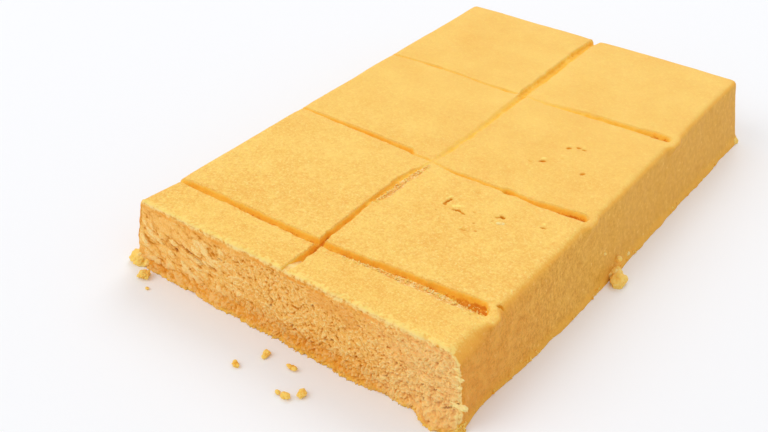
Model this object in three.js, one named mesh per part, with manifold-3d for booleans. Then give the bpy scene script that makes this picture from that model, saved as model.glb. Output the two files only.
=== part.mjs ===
// A slab of soft almond nougat, set in a loaf tin, turned out, scored into squares and cut across the front.
// Millimetres, +Z up. X runs across the slab, +Y along it from the cut face to the far end.
// The origin is on the board under the middle of the slab's top.
import * as THREE from "three";
import { mergeVertices } from "three/addons/utils/BufferGeometryUtils.js";
import Module from "manifold-3d";

const { clamp, lerp, smoothstep, degToRad } = THREE.MathUtils;

// Driving dimensions
const PIECE = 50; // side of one scored square
const HEIGHT = 21.5;
const TOP_WIDTH = 2 * PIECE;
const FRONT_STRIP = 13.5; // what the last cut left in front of the first cross score
const LENGTH = FRONT_STRIP + 3 * PIECE + 1.2;
const FRONT_Y = -80.7;
const BACK_Y = FRONT_Y + LENGTH;
const LEFT_X = -TOP_WIDTH / 2;
const RIGHT_X = TOP_WIDTH / 2;

// The tin's sides slope, so the long sides stand out at the foot, and the cut face leans a little.
// The last cut drew the right side's foot in and pushed the left end's upper corner out.
const SIDE_DRAFT = 4;
const FOOT_DRAWN_IN = 2.6;
const DRAWN_IN_OVER = 55;
const CORNER_KEPT = 12; // within this of the cut face the foot is drawn in less
const TOP_EDGE_OUT = [ // distance along, how far the right edge of the top stands out there
  [0, -1.5],
  [9, -1.5],
  [12, -0.3],
  [13.5, 1.2],
  [16.5, 1.1],
  [18.5, -0.6],
  [38, -0.6],
  [42, -0.3],
  [59, -0.3],
  [61, 1.2],
  [65, 1.2],
  [67.5, 0.3],
  [110, 0.1],
  [112.5, 1.5],
  [117, 1.4],
  [119.5, 0.4],
  [126, 0.1],
];
const TOP_EDGE_ABOVE = [0.8, 1]; // how high up, as shares of the height, that starts and is complete
const CORNER_PUSHED_OUT = 1.1;
const PUSHED_OUT_OVER = 16;
const FRONT_LEAN = 1.3;
const BACK_LEAN = 0.3;
const MOULDED_RADIUS = 1.7;
const CUT_RADIUS = 0.9;

// The top sinks a little towards each score and edge, and the front strip lies lower
const STRIP_DROP = 0.6;
const STRIP_STEP_HALF = 1.5; // the drop happens this far to each side of the first cross score
const PILLOW_FALL = 0.2;
const PILLOW_REACH = 3;
const TOP_LAYER = 6; // how deep the sinking is felt below the top

// The foot spreads in a ragged fringe
const FRINGE_HEIGHT = 3.2;
const FRINGE_OUT = 0.6;
const FRINGE_RAGGED = 0.25;
const FRINGE_WAVELENGTH = 4.5;

// Towards the right end of the cut face the knife pressed the foot out into a flare
const FLARE_ACROSS = 96.6;
const FLARE_HALF_WIDTH = 4.9;
const FLARE_HEIGHT = 5.5;
const FLARE_OUT = 3.2;

// Before that the foot of the cut face has a low lip: distance across, how far it stands out
const FOOT_LIP = [
  [12, 0],
  [33, 0.75],
  [79, 0.8],
  [84, 0.1],
  [87.5, 0.9],
  [89.5, 0.4],
  [92, 0],
];

// Relief of each face, as height and wavelength
const CUT_RELIEF = [[0.42, 7.5], [0.3, 3.1]];
const MOULDED_RELIEF = [[0.22, 10], [0.1, 4]];
const TOP_RELIEF = [[0.16, 12], [0.06, 5]];

// Lines of the blank: close together by an edge, wider apart between
const EDGE_STEP = 1;
const STEP_GROWTH = 0.6;
const ACROSS_STEP = 4;
const ALONG_STEP = 5.6;
const UP_STEP = 3;
const BELOW_BOARD = 2.5; // the blank reaches below the board, which then trims it flat

// Scores in the top. A row is [distance along, place across, depth, mouth width].
// Both places are counted from the slab's front left top corner.
const LONG_SCORE = {
  alongY: true,
  rows: [
    [-2, 49.4, 0.9, 2.0],
    [3, 49.8, 2.0, 2.4],
    [14, 49.6, 1.8, 2.0],
    [36, 48.4, 1.1, 1.8],
    [44, 48.5, 0.9, 2.2],
    [50, 48.3, 0.8, 2.2],
    [56, 49.0, 0.8, 1.6],
    [60, 49.9, 0.1, 1.2],
    [64, 50.5, 0.1, 1.6],
    [68, 50.7, 0.45, 2.8],
    [86, 51.1, 0.5, 3.2],
    [110, 50.6, 0.7, 3.0],
    [116, 50.0, 1.1, 3.4],
    [146, 49.9, 1.1, 3.4],
    [149.5, 49.5, 1.7, 3.4],
    [152, 49.5, 1.2, 3.2],
    [160, 49.7, 1.0, 2.8],
    [167, 50.4, 1.7, 3.2],
  ],
};
const FIRST_CROSS_SCORE = {
  rows: [
    [-2, 13.6, 0.4, 1.2],
    [4, 13.9, 1.4, 1.7],
    [48, 13.7, 1.7, 1.9],
    [60, 14.5, 1.8, 1.9],
    [70, 15.6, 1.9, 1.9],
    [82, 16.5, 1.9, 2.1],
    [89.5, 16.7, 2.1, 3.0],
    [94.5, 16.5, 2.3, 4.4],
    [97.4, 16.6, 2.3, 4.3],
  ],
};
const SECOND_CROSS_SCORE = {
  rows: [
    [-2, 65.3, 0.5, 1.1],
    [24, 64.8, 1.4, 1.6],
    [41.5, 64.3, 1.8, 2.2],
    [43.6, 63.1, 0.5, 1.3],
    [48, 63.0, 0.5, 1.2],
    [50, 62.5, 0.15, 1.0],
    [54, 62.1, 0.3, 1.1],
    [58, 61.9, 0.8, 1.3],
    [73.6, 62.2, 0.9, 1.5],
    [74.8, 62.3, 2.3, 2.6],
    [76.4, 62.3, 2.3, 2.6],
    [77.6, 62.2, 1.0, 1.5],
    [84, 62.0, 2.1, 2.2],
    [88, 62.6, 2.2, 2.6],
    [98.4, 63.5, 2.6, 3.2],
  ],
};
const THIRD_CROSS_SCORE = {
  rows: [
    [-2, 112.0, 0.4, 1.0],
    [16, 113.3, 0.8, 1.3],
    [30, 112.9, 0.5, 1.2],
    [44, 112.6, 0.8, 1.5],
    [50, 113.2, 0.2, 1.0],
    [58, 112.4, 0.3, 2.0],
    [66, 113.4, 0.65, 2.6],
    [80, 114.2, 0.9, 2.8],
    [88, 114.5, 1.1, 2.8],
    [92, 115.0, 1.9, 3.1],
    [98.6, 115.1, 2.2, 3.2],
  ],
};
const SCORES = [LONG_SCORE, FIRST_CROSS_SCORE, SECOND_CROSS_SCORE, THIRD_CROSS_SCORE];
const SCORE_STEP = 3.4; // the cutter's rings lie no farther apart than this
const SCORE_RAGGED = 0.3;
const CUTTER_ABOVE = 1.2; // how far a score's cutter stands above the top
const MOUTH_SPREAD = 1.9; // its width there, as a share of the mouth's
const THROAT = 0.55; // and a little way down
const THROAT_DEPTH = 0.6;
const BOTTOM = 0.3;

// Torn spots in the top: distance across and along from the same corner, length, width, depth,
// turn in degrees
const TEARS = [
  [65.0, 48.6, 3.2, 0.8, 0.9, 86],
  [69.2, 46.2, 2.6, 0.9, 0.9, 28],
  [71.2, 46.2, 2.3, 0.7, 0.5, -4],
  [80.6, 50.6, 1.6, 1.1, 1.2, -30],
  [79.6, 49.8, 1.8, 0.7, 0.5, 42],
  [91.3, 52.7, 2.0, 0.8, 0.5, 15],
  [75.2, 81.4, 2.6, 1.2, 0.7, 30],
  [77.6, 92.7, 1.7, 1.2, 0.5, 30],
  [79.7, 94.4, 1.5, 1.0, 0.5, 10],
  [87.0, 82.4, 1.8, 1.1, 0.4, 60],
  [99.0, 19.3, 1.6, 1.1, 0.6, 30],
];

// Holes and drag cracks in the cut face: distance across from its left end, height, width,
// height of the mouth, depth, turn in degrees
const FACE_HOLES = [
  [12.0, 10.5, 1.5, 1.2, 1.6, -20],
  [17.2, 12.3, 2.6, 1.5, 1.9, -16],
  [28.3, 14.6, 1.8, 0.7, 0.8, -8],
  [59.0, 14.6, 1.1, 0.9, 1.2, 60],
  [59.0, 3.5, 1.5, 0.6, 0.8, 20],
  [65.2, 7.3, 1.4, 0.6, 1.3, 20],
  [81.9, 4.9, 2.0, 0.7, 0.8, 10],
  [92.1, 4.3, 2.0, 0.7, 0.7, -15],
  [98.8, 4.9, 2.4, 0.6, 0.7, 24],
  [101.0, 6.9, 1.7, 0.5, 0.7, 24],
];

// Lumps pressed out at the foot, and a flake left standing on the right edge of the cut face: centre
// across, along and up, then half sizes
const LUMPS = [
  [-3.3, -0.9, 1.3, 3.0, 2.4, 2.0],
  [-0.6, -0.2, 1.0, 2.2, 2.0, 1.6],
  [101.9, -0.7, 6.8, 1.6, 0.9, 0.7],
  [103.8, 76.0, 3.4, 0.9, 0.9, 0.8],
  [104.6, 73.2, 0.9, 1.8, 2.6, 1.5],
  [107.1, 69.9, 1.3, 2.3, 2.3, 1.8],
  [103.4, 163.2, 0.5, 1.7, 1.8, 1.3],
];
const LUMP_ROUGHNESS = 0.3;
const LUMP_WAVELENGTH = 1.5;
const FINE_LUMP = 2.5; // half size from which a lump takes more faces

// A repeatable number from -1 to 1 for each point with whole coordinates
function scatter(i, j, k) {
  let h = Math.imul(i, 374761393) ^ Math.imul(j, 668265263) ^ Math.imul(k, 1274126177);
  h = Math.imul(h ^ (h >>> 13), 1103515245);
  return ((h ^ (h >>> 16)) >>> 0) / 2147483648 - 1;
}

// Smooth noise from -1 to 1 through those numbers
function noise(x, y, z) {
  const [i, j, k] = [x, y, z].map(Math.floor);
  const [u, v, w] = [x - i, y - j, z - k].map((t) => t * t * (3 - 2 * t));
  const edge = (b, c) => lerp(scatter(i, j + b, k + c), scatter(i + 1, j + b, k + c), u);
  return lerp(lerp(edge(0, 0), edge(1, 0), v), lerp(edge(0, 1), edge(1, 1), v), w);
}

function relief(octaves, p) {
  const heights = octaves.map(([height, wave]) => height * noise(p.x / wave, p.y / wave, p.z / wave));
  return heights.reduce((sum, height) => sum + height, 0);
}

// The values that a table's rows give after their distance, at any distance
function rowAt(rows, distance) {
  const last = rows.length - 1;
  const next = Math.max(rows.findIndex((row, i) => row[0] > distance || i === last), 1);
  const [a, b] = [rows[next - 1], rows[next]];
  const t = clamp((distance - a[0]) / (b[0] - a[0]), 0, 1);
  return a.slice(1).map((value, i) => lerp(value, b[i + 1], t));
}

// Height of the top over a point of the plan, before any score is cut
function topHeight(x, y) {
  const across = x - LEFT_X;
  const along = y - FRONT_Y;
  const crossPlaces = [FIRST_CROSS_SCORE, SECOND_CROSS_SCORE, THIRD_CROSS_SCORE];
  const gaps = crossPlaces.map((score) => Math.abs(along - rowAt(score.rows, across)[0]));
  gaps.push(Math.abs(across - rowAt(LONG_SCORE.rows, along)[0]));
  const nearest = Math.min(...gaps) / PILLOW_REACH;
  const beyondFirst = along - rowAt(FIRST_CROSS_SCORE.rows, across)[0];
  const drop = STRIP_DROP * (1 - smoothstep(beyondFirst, -STRIP_STEP_HALF, STRIP_STEP_HALF));
  return HEIGHT - drop - PILLOW_FALL * Math.exp(-nearest * nearest);
}

// Places of the blank's lines from start to end
function stations(start, end, widest) {
  const lines = [start];
  while (lines.at(-1) < end) {
    const here = lines.at(-1);
    const toEdge = Math.min(here - start, end - here);
    lines.push(here + clamp(toEdge * STEP_GROWTH, EDGE_STEP, widest));
  }
  const scale = (end - start) / (lines.at(-1) - start);
  return lines.map((line) => start + (line - start) * scale);
}

// Distances from faces that meet squarely, changed so that the edges between them are round
function rounded(gaps, radius) {
  const out = gaps.map((gap) => Math.min(gap - radius, 0));
  const share = -Math.min(...out) / Math.max(Math.hypot(...out), 1e-9);
  return gaps.map((gap, i) => Math.max(gap, radius) + out[i] * share);
}

// Takes a point of the square-edged blank to the one with its moulded edges and its sharper cut edges
function roundEdges(p) {
  const inward = [RIGHT_X - Math.abs(p.x), HEIGHT - p.z];
  const nearest = Math.min(...inward, MOULDED_RADIUS - 1e-9);
  const [eased, behind] = rounded([nearest, p.y - FRONT_Y], CUT_RADIUS);
  const share = (MOULDED_RADIUS - eased) / (MOULDED_RADIUS - nearest);
  const [beside, below] = inward.map(
    (gap) => Math.max(gap, MOULDED_RADIUS) + Math.min(gap - MOULDED_RADIUS, 0) * share,
  );
  const gaps = rounded([beside, LENGTH - behind, below], MOULDED_RADIUS);
  return new THREE.Vector3(Math.sign(p.x) * (RIGHT_X - gaps[0]), BACK_Y - gaps[1], HEIGHT - gaps[2]);
}

// How far the foot of the cut face stands out with its lip and its flare
function footReach(across, up) {
  const aside = (across - FLARE_ACROSS) / FLARE_HALF_WIDTH;
  const flare = FLARE_OUT * Math.exp(-(aside ** 4)) * (1 - smoothstep(up, 0.5, FLARE_HEIGHT));
  return flare + rowAt(FOOT_LIP, across)[0] * (1 - smoothstep(up, 0.3, FRINGE_HEIGHT));
}

function lastCutShift(acrossShare, along, down) {
  const nearCut = (1 - smoothstep(along, 0, DRAWN_IN_OVER)) * smoothstep(along, -CORNER_KEPT, CORNER_KEPT);
  const drawnIn = FOOT_DRAWN_IN * nearCut * down ** 3;
  const pushedOut = CORNER_PUSHED_OUT * (1 - smoothstep(along, 0, PUSHED_OUT_OVER)) * (1 - down);
  const upper = rowAt(TOP_EDGE_OUT, along)[0] * smoothstep(1 - down, ...TOP_EDGE_ABOVE);
  return Math.abs(acrossShare) * (acrossShare > 0 ? upper - drawnIn : -pushedOut);
}

// Spreads the sides towards the foot, with the ragged fringe at the very bottom
function leanSides(p) {
  const down = 1 - p.z / HEIGHT;
  const acrossShare = p.x / RIGHT_X;
  const middleY = (FRONT_Y + BACK_Y) / 2;
  const alongShare = (p.y - middleY) / (LENGTH / 2);
  const fringe = 1 - smoothstep(p.z, 0, FRINGE_HEIGHT);
  const ragged = FRINGE_RAGGED * noise(p.x / FRINGE_WAVELENGTH, p.y / FRINGE_WAVELENGTH, 0.5);
  const spread = fringe * (FRINGE_OUT + ragged);
  p.x += acrossShare * (SIDE_DRAFT * down + spread) + lastCutShift(acrossShare, p.y - FRONT_Y, down);
  p.y += alongShare * ((alongShare < 0 ? FRONT_LEAN : BACK_LEAN) * down + spread);
  p.y -= footReach(p.x - LEFT_X, p.z) * Math.max(-alongShare, 0) ** 4;
  return p;
}

// A shape with its vertices merged, each moved by a function of its own place
function moved(geometry, place) {
  geometry.deleteAttribute("normal");
  geometry.deleteAttribute("uv");
  const merged = mergeVertices(geometry);
  const position = merged.getAttribute("position");
  const p = new THREE.Vector3();
  for (let i = 0; i < position.count; i += 1) {
    const q = place(p.fromBufferAttribute(position, i).clone(), i);
    position.setXYZ(i, q.x, q.y, q.z);
  }
  return merged;
}

// The slab before it is scored, with each face's own relief
function blank() {
  const across = stations(LEFT_X, RIGHT_X, ACROSS_STEP);
  const along = stations(FRONT_Y, BACK_Y, ALONG_STEP);
  const up = stations(-BELOW_BOARD, HEIGHT, UP_STEP);
  const [columns, rows, levels] = [across, along, up].map((lines) => lines.length - 1);
  const shape = moved(new THREE.BoxGeometry(1, 1, 1, columns, rows, levels), (p) => {
    const square = new THREE.Vector3(
      across[Math.round((p.x + 0.5) * columns)],
      along[Math.round((p.y + 0.5) * rows)],
      up[Math.round((p.z + 0.5) * levels)],
    );
    const q = leanSides(roundEdges(square));
    q.z += (topHeight(q.x, q.y) - HEIGHT) * smoothstep(q.z, HEIGHT - TOP_LAYER, HEIGHT);
    return q;
  });
  shape.computeVertexNormals();
  const normals = shape.getAttribute("normal").clone();
  const normal = new THREE.Vector3();
  return moved(shape, (p, i) => {
    normal.fromBufferAttribute(normals, i);
    const top = Math.max(normal.z, 0) ** 2;
    const cut = Math.max(-normal.y, 0) ** 2;
    const side = 1 - top - cut;
    const flat = top * relief(TOP_RELIEF, p) + cut * relief(CUT_RELIEF, p);
    return p.addScaledVector(normal, flat + side * relief(MOULDED_RELIEF, p));
  });
}

// Distances along a score at which its cutter has a ring: at every row, and between rows far apart
function ringsAlong(rows) {
  const rings = [rows[0][0]];
  for (const [end] of rows.slice(1)) {
    const start = rings.at(-1);
    const steps = Math.ceil((end - start) / SCORE_STEP);
    for (let step = 1; step <= steps; step += 1) {
      rings.push(lerp(start, end, step / steps));
    }
  }
  return rings;
}

// The ragged wedge that one score takes out of the top
function scoreCutter({ alongY, rows }) {
  const rings = ringsAlong(rows);
  const steps = rings.length - 1;
  return moved(new THREE.BoxGeometry(1, 1, 1, 1, steps, 2), (p) => {
    const distance = rings[Math.round((p.y + 0.5) * steps)];
    const [place, depth, mouth] = rowAt(rows, distance);
    const level = Math.round((p.z + 0.5) * 2);
    const width = mouth * [BOTTOM, THROAT, MOUTH_SPREAD][level];
    const ragged = SCORE_RAGGED * noise(distance / 2, p.x * 9, level * 0.7 + place);
    const sideways = place + (alongY ? 1 : -1) * p.x * width + ragged;
    const down = [-depth, -Math.min(THROAT_DEPTH, depth * 0.6), CUTTER_ABOVE][level];
    const x = LEFT_X + (alongY ? sideways : distance);
    const y = FRONT_Y + (alongY ? distance : sideways);
    const surface = topHeight(LEFT_X + (alongY ? place : distance), FRONT_Y + (alongY ? distance : place));
    return new THREE.Vector3(x, y, surface + down);
  });
}

// A lumpy ball of given half sizes, turned about the axis that it faces along, then put in its place
function lump(halfSizes, centre, detail, turn = new THREE.Matrix4()) {
  const seed = centre.x + centre.y;
  return moved(new THREE.IcosahedronGeometry(1, detail), (p) => {
    const wave = p.clone().multiply(halfSizes).divideScalar(LUMP_WAVELENGTH);
    const rough = 1 + LUMP_ROUGHNESS * noise(wave.x + seed, wave.y, wave.z - seed);
    return p.multiplyScalar(rough).multiply(halfSizes).applyMatrix4(turn).add(centre);
  });
}

function tearCutter([across, along, length, width, depth, degrees]) {
  const x = LEFT_X + across;
  const y = FRONT_Y + along;
  const centre = new THREE.Vector3(x, y, topHeight(x, y));
  const turn = new THREE.Matrix4().makeRotationZ(degToRad(degrees));
  return lump(new THREE.Vector3(length / 2, width / 2, depth), centre, 1, turn);
}

function holeCutter([across, up, width, mouth, depth, degrees]) {
  const lean = FRONT_LEAN * (1 - up / HEIGHT);
  const turn = new THREE.Matrix4().makeRotationY(-degToRad(degrees));
  const centre = new THREE.Vector3(LEFT_X + across, FRONT_Y - lean, up);
  return lump(new THREE.Vector3(width / 2, depth, mouth / 2), centre, 1, turn);
}

function pressedLump([across, along, up, ...halfSizes]) {
  const centre = new THREE.Vector3(LEFT_X + across, FRONT_Y + along, up);
  const detail = Math.max(...halfSizes) > FINE_LUMP ? 2 : 1;
  return lump(new THREE.Vector3(...halfSizes), centre, detail);
}

// Everything under the board's surface
function underBoard() {
  const deep = 20;
  return moved(new THREE.BoxGeometry(2 * LENGTH, 2 * LENGTH, deep), (p) => p.setZ(p.z - deep / 2));
}

const wasm = await Module();
wasm.setup();

function solid(geometry) {
  const vertProperties = new Float32Array(geometry.getAttribute("position").array);
  const triVerts = new Uint32Array(geometry.index.array);
  return new wasm.Manifold(new wasm.Mesh({ numProp: 3, vertProperties, triVerts }));
}

function joined(solids) {
  return solids.reduce((whole, next) => whole.add(next));
}

function geometryOf(manifold) {
  const { vertProperties, triVerts } = manifold.getMesh();
  const geometry = new THREE.BufferGeometry();
  geometry.setAttribute("position", new THREE.BufferAttribute(vertProperties, 3));
  geometry.setIndex(new THREE.BufferAttribute(triVerts, 1));
  geometry.computeVertexNormals();
  return geometry;
}

function slab() {
  const pressed = joined([blank(), ...LUMPS.map(pressedLump)].map(solid));
  const cutters = [...SCORES.map(scoreCutter), ...TEARS.map(tearCutter), ...FACE_HOLES.map(holeCutter)];
  const taken = joined(cutters.map(solid));
  return geometryOf(pressed.subtract(taken).subtract(solid(underBoard())));
}

const nougat = new THREE.MeshStandardMaterial({ color: 0xf3bd6c, roughness: 0.82, metalness: 0 });
const slabMesh = new THREE.Mesh(slab(), nougat);
slabMesh.name = "nougat_slab";

const group = new THREE.Group();
group.add(slabMesh);

export default group;
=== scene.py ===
import math

import bmesh
import bpy
import numpy as np
from mathutils import Matrix, Quaternion, Vector


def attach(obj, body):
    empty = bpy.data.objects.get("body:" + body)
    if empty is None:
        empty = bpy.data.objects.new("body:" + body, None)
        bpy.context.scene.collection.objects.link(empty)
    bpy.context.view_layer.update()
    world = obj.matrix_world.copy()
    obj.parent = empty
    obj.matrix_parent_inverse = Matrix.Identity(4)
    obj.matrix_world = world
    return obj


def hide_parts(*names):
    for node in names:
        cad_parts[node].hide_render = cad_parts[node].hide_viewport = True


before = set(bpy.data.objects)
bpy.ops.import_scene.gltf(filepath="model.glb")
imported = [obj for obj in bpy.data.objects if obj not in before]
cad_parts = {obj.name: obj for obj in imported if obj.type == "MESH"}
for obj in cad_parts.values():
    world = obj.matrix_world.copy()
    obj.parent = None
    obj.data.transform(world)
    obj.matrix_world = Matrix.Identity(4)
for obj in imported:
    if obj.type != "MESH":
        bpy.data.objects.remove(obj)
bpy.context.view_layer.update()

# A slab of soft almond nougat, set in a loaf tin, turned out, scored into squares and cut across the front.
# Shapes are worked out in millimetres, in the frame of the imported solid, and scaled to metres at the end.
MM = 0.001

# Sizes of the slab, the same as the solid's
PIECE = 50  # side of one scored square
HEIGHT = 21.5
TOP_WIDTH = 2 * PIECE
FRONT_STRIP = 13.5
LENGTH = FRONT_STRIP + 3 * PIECE + 1.2
FRONT_Y = -80.7
BACK_Y = FRONT_Y + LENGTH
LEFT_X = -TOP_WIDTH / 2
RIGHT_X = TOP_WIDTH / 2
SIDE_DRAFT = 4
FRONT_LEAN = 1.3
BACK_LEAN = 0.3
MOULDED_RADIUS = 1.7
CUT_RADIUS = 0.9
STRIP_DROP = 0.6  # of the front strip
STRIP_STEP_HALF = 1.5
PILLOW_FALL = 0.2
PILLOW_REACH = 3
TOP_LAYER = 6

# The last cut drew the right side's foot in and pushed the left end's upper corner out
FOOT_DRAWN_IN = 2.6
DRAWN_IN_OVER = 55
CORNER_KEPT = 12
CORNER_PUSHED_OUT = 1.1
PUSHED_OUT_OVER = 16
TOP_EDGE_OUT = [  # distance along, how far the right edge of the top stands out there
    (0, -1.5), (9, -1.5), (12, -0.3), (13.5, 1.2), (16.5, 1.1), (18.5, -0.6), (38, -0.6), (42, -0.3),
    (59, -0.3), (61, 1.2), (65, 1.2), (67.5, 0.3), (110, 0.1), (112.5, 1.5), (117, 1.4), (119.5, 0.4),
    (126, 0.1),
]
TOP_EDGE_ABOVE = (0.8, 1)  # how high up, as shares of the height, that starts and is complete

# The foot: its ragged fringe, and the flare and the lip of the cut face
FRINGE_HEIGHT = 3.2
FRINGE_OUT = 0.6
FRINGE_RAGGED = 0.25
FRINGE_WAVELENGTH = 4.5
FRINGE_DETAIL = [(0.2, 1.6), (0.12, 0.8)]
FRINGE_DETAIL_HEIGHT = 1.9
SIDE_FRINGE_DETAIL = 0.3  # what the moulded sides have of that detail
FLARE_ACROSS = 96.6
FLARE_HALF_WIDTH = 4.9
FLARE_HEIGHT = 5.5
FLARE_OUT = 3.2
FLARE_RAGGED = [(0.2, 3.2), (0.15, 1.3)]  # as shares of the flare, and wavelengths
FOOT_LIP = [  # distance across, how far the lip stands out there
    (12, 0), (33, 0.75), (79, 0.8), (84, 0.1), (87.5, 0.9), (89.5, 0.4), (92, 0),
]

# Relief of each face, as height and wavelength
CUT_RELIEF = [(0.42, 7.5), (0.3, 3.1)]
MOULDED_RELIEF = [(0.22, 10), (0.1, 4), (0.07, 1.3)]
TOP_RELIEF = [(0.16, 12), (0.06, 5), (0.035, 2.1)]
EDGE_RELIEF = [(0.34, 2.3), (0.18, 0.9)]
EDGE_RELIEF_FADES = (0.6, 1.6)  # between these distances from the cut's edges

# The crumb of the cut face, which the knife dragged down to the right
DRAG_SLOPE = 0.2  # how far it goes down for each millimetre to the right, in the middle of the face
DRAG_EASES = 0.0016  # and how much less that is a millimetre further right
DRAG_SWAY = 1.1
DRAG_SWAY_WAVE = 9
LEFT_END = (18, 44)  # the left end gives way to the rest between these distances across
CELL_SCATTER = 0.42  # how far a grain lies from the middle of its cell

# Grains: height of the dome, step from one to the next, length along the drag and width across it,
# and how much of those heights they have at the left end and elsewhere
GRAINS = [
    (0.38, 0.22, 2.6, 1.5, 1, 0),
    (0.12, 0.07, 1.7, 1.1, 0.8, 0.7),
    (0.18, 0.08, 0.8, 0.62, 0.2, 0.85),
    (0.12, 0.07, 0.42, 0.36, 0, 1.2),
]
GRAIN_WARP = 0.35
DOME_REACH = 0.72  # of a grain in its cell, squared
DOME_SUNK = 0.6

# Short ridges and furrows between the grains: spacing, length, width and height
STROKES = [(0.95, 1.5, 0.38, 0.28), (0.6, 0.9, 0.28, 0.24)]
STROKE_FAN = 1  # how far they turn from the drag, in radians
STROKES_LEFT = 0.35  # what the left end has of their height

RIGHT_ROUGHER = 0.7  # how much taller all that is at the right end
LOW_ROUGHER = 0.9  # and by the foot
LOW_ROUGHER_FADES = (3, 8)  # between these heights
SMOOTH_SPOTS = [(9, 17, 11, 4.5), (30, 19.4, 13, 1.8)]  # distance across, height and half sizes
SMOOTH_SPOT_RAGGED = 0.25
SMOOTH_SPOT_WAVE = 2.6
SMOOTH_SPOT_FADES = (0.5, 1.1)
SMOOTHED_AWAY = 0.55  # what a smooth spot takes of the grains' height
SMEAR_WAVES = [(0.7, 6), (0.3, 2.5)]
SMEAR_LOW = 0.02  # smeared patches are rarer lower down
SMEAR_ENDS = (-0.75, -0.2)
SMEARED_GRAINS = 0.6  # what a smeared patch keeps of the grains' height

CRACKS = [(0.45, 4.2, 1.9, 0.2, 0.4), (0.3, 2, 1.1, 0.15, 0.5)]  # depth, length, spacing, width, how common
CRACK_BEND = 0.5
CRACK_TAPERS = (0.2, 0.45)
CRACKED_RIGHT = (76, 94)  # the cracks grow common again between these distances across
CRACKED_UP_TO = (9, 14)  # and lower than this
CRACKED_LEFT = 0.16  # how common they are at the left end, and between the two
CRACKS_ELSEWHERE = 0.05

# The block of mesh that carries the crumb, with its borders down in the slab
CRUMB_COLUMNS = 610
CRUMB_ROWS = 138
CRUMB_BED = 2.8  # how deep the slab's own cut face lies under it
BED_STARTS = (0.8, 1.7)  # how far from the edges
CRUMB_INSET = 0.3
CRUMB_EMERGES = (0.3, 0.8)
CRUMB_THICK = 4
BACK_SMALLER = 0.06  # how much narrower and lower its back is
EDGE_GRAIN = 0.4  # what the grain keeps of its height by the edges
EDGE_GRAIN_RISES = (0.5, 2.4)

# Scores: whether it runs along the slab, then rows of distance along, place across, depth, mouth width.
# Both places are counted from the slab's front left top corner.
LONG_SCORE = (True, [
    (-2, 49.4, 0.9, 2), (3, 49.8, 2, 2.4), (14, 49.6, 1.8, 2), (36, 48.4, 1.1, 1.8),
    (44, 48.5, 0.9, 2.2), (50, 48.3, 0.8, 2.2), (56, 49, 0.8, 1.6), (60, 49.9, 0.1, 1.2),
    (64, 50.5, 0.1, 1.6), (68, 50.7, 0.45, 2.8), (86, 51.1, 0.5, 3.2), (110, 50.6, 0.7, 3),
    (116, 50, 1.1, 3.4), (146, 49.9, 1.1, 3.4), (149.5, 49.5, 1.7, 3.4), (152, 49.5, 1.2, 3.2),
    (160, 49.7, 1, 2.8), (167, 50.4, 1.7, 3.2),
])
FIRST_CROSS_SCORE = (False, [
    (-2, 13.6, 0.4, 1.2), (4, 13.9, 1.4, 1.7), (48, 13.7, 1.7, 1.9), (60, 14.5, 1.8, 1.9),
    (70, 15.6, 1.9, 1.9), (82, 16.5, 1.9, 2.1), (89.5, 16.7, 2.1, 3), (94.5, 16.5, 2.3, 4.4),
    (97.4, 16.6, 2.3, 4.3),
])
SECOND_CROSS_SCORE = (False, [
    (-2, 65.3, 0.5, 1.1), (24, 64.8, 1.4, 1.6), (41.5, 64.3, 1.8, 2.2), (43.6, 63.1, 0.5, 1.3),
    (48, 63, 0.5, 1.2), (50, 62.5, 0.15, 1), (54, 62.1, 0.3, 1.1), (58, 61.9, 0.8, 1.3),
    (73.6, 62.2, 0.9, 1.5), (74.8, 62.3, 2.3, 2.6), (76.4, 62.3, 2.3, 2.6), (77.6, 62.2, 1, 1.5),
    (84, 62, 2.1, 2.2), (88, 62.6, 2.2, 2.6), (98.4, 63.5, 2.6, 3.2),
])
THIRD_CROSS_SCORE = (False, [
    (-2, 112, 0.4, 1), (16, 113.3, 0.8, 1.3), (30, 112.9, 0.5, 1.2), (44, 112.6, 0.8, 1.5),
    (50, 113.2, 0.2, 1), (58, 112.4, 0.3, 2), (66, 113.4, 0.65, 2.6), (80, 114.2, 0.9, 2.8),
    (88, 114.5, 1.1, 2.8), (92, 115, 1.9, 3.1), (98.6, 115.1, 2.2, 3.2),
])
CROSS_SCORES = [FIRST_CROSS_SCORE, SECOND_CROSS_SCORE, THIRD_CROSS_SCORE]
SCORES = [LONG_SCORE, *CROSS_SCORES]
SCORE_RAGGED = [(0.22, 2), (0.14, 0.7)]
SCORE_DEPTH_RAGGED = [(0.28, 4.5), (0.22, 1.1)]  # as shares of the depth, and wavelengths
# Section of a score, as shares of half its mouth and of its depth, from its gentle side to its steep one
SECTION_PLACES = [-1.25, -0.75, -0.3, 0.25, 0.75, 1]
SECTION_DEPTHS = [0, 0.22, 0.85, 1, 0.9, 0]
ROUND_TO_STEEP = (0.5, 1)  # scores shallower than this are round, deeper ones have that section
SCORE_END = 0.9  # a score that stops inside the slab rises over this length
SCORE_END_SLANT = 0.45  # and sooner on its steep side
SCORE_END_ROUND = 0.7
WALL_STARTS = (-0.6, 0)  # the shares of the mouth where wall and floor begin and end
WALL_ENDS = (1, 1.3)
BURR = 0.16  # raised by the knife along the steep side
BURR_WIDTH = 0.5
BURR_FULL_DEPTH = 1.5  # of the score
UNCUT = 0.05  # only what is cut less deep than this has a burr or a lip

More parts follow.
